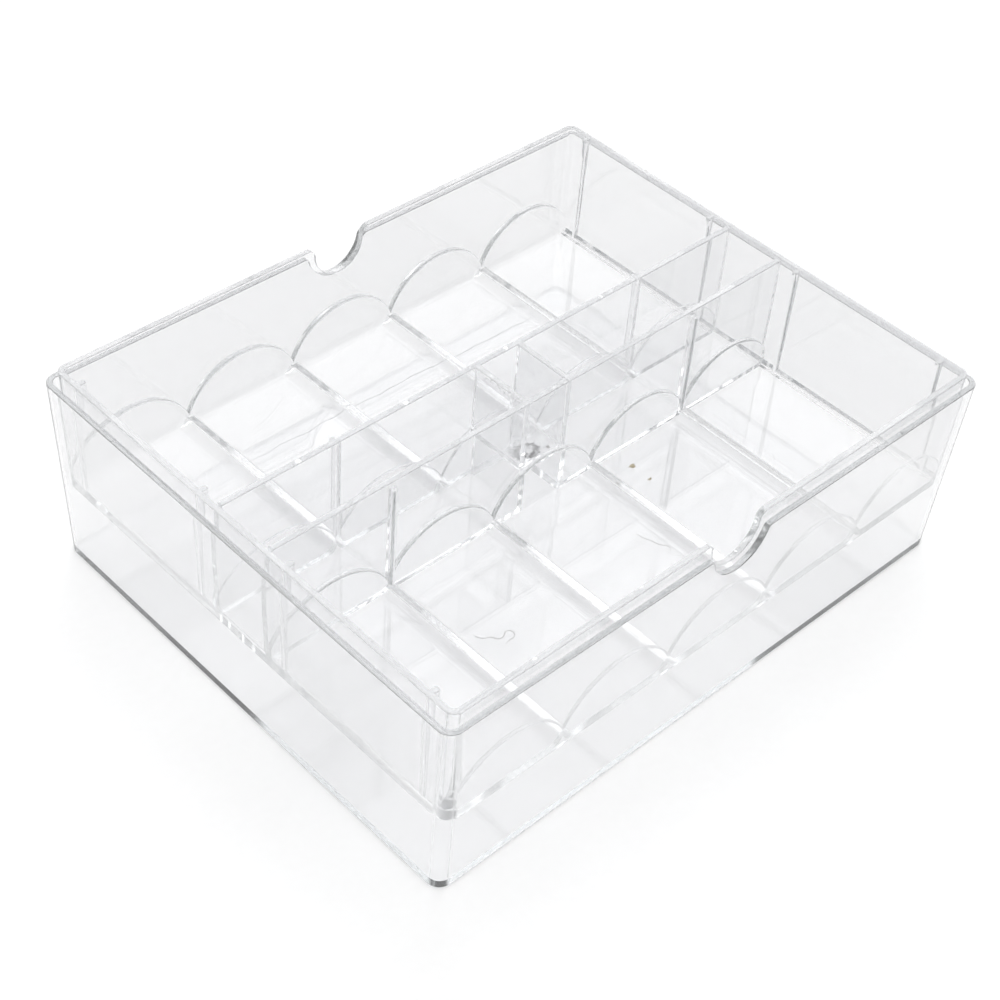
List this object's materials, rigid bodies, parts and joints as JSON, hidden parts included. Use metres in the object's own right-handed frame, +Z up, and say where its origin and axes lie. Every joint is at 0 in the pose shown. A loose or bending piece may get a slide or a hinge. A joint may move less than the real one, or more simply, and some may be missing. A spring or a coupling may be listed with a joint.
{
  "type": "poker chip case",
  "caption": "Clear open box with a lift-out tray that holds two rows of chip columns, a card channel and a small centre cup.",
  "frame": {"origin": "centre of the box's underside, on the surface it stands on", "axes": "+X along the long sides, +Y along the short sides, +Z up, out of the open top"},
  "size_m": [0.218, 0.1766, 0.071],
  "materials": {
    "box_plastic": "clear, polished",
    "tray_plastic": "clear, polished"
  },
  "bodies": {
    "base": {"case_base": "box_plastic"},
    "tray": {"chip_tray": "tray_plastic"}
  },
  "joints": [
    {"name": "tray_lift", "type": "slide", "parent": "base", "child": "tray", "axis": [0, 0, 1], "range_m": [0, 0.06]}
  ]
}
